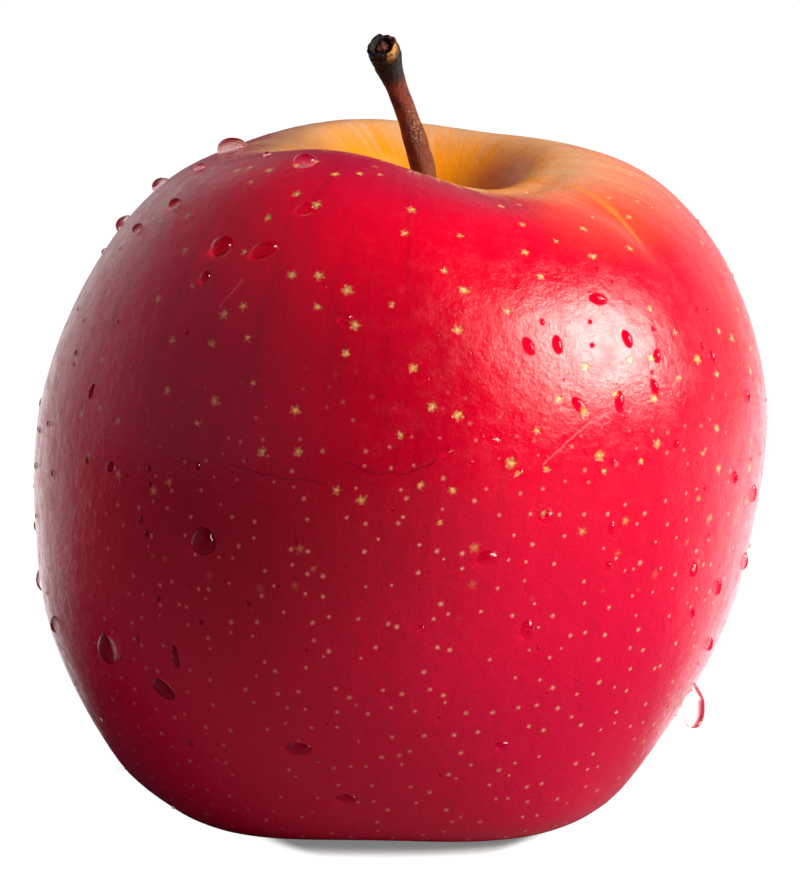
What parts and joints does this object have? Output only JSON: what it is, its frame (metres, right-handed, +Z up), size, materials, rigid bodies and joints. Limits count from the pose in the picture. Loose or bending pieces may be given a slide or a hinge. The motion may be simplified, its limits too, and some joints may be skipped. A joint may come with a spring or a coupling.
{
  "type": "apple",
  "caption": "Whole red dessert apple with its stem in a yellow cavity, standing on the lobes of its base, dried calyx underneath.",
  "frame": {"origin": "middle of the fruit's box at the level of the surface it stands on", "axes": "+Z up along the apple's core and stem, -Z out of the flat spots it rests on, front (the side with the crease over the right shoulder) towards -Y, +X to the right seen from the front"},
  "size_m": [0.0804, 0.0802, 0.084],
  "materials": {
    "skin": "waxy gloss, crimson with yellow cavity and pale lenticels",
    "stem_bark": "rough brown bark with a dark scar at the tip",
    "dried_sepal": "dry, downy, grey brown"
  },
  "bodies": {
    "root": {"fruit": "skin", "stem": "stem_bark", "sepal_1": "dried_sepal", "sepal_2": "dried_sepal", "sepal_3": "dried_sepal", "sepal_4": "dried_sepal", "sepal_5": "dried_sepal"}
  },
  "joints": []
}
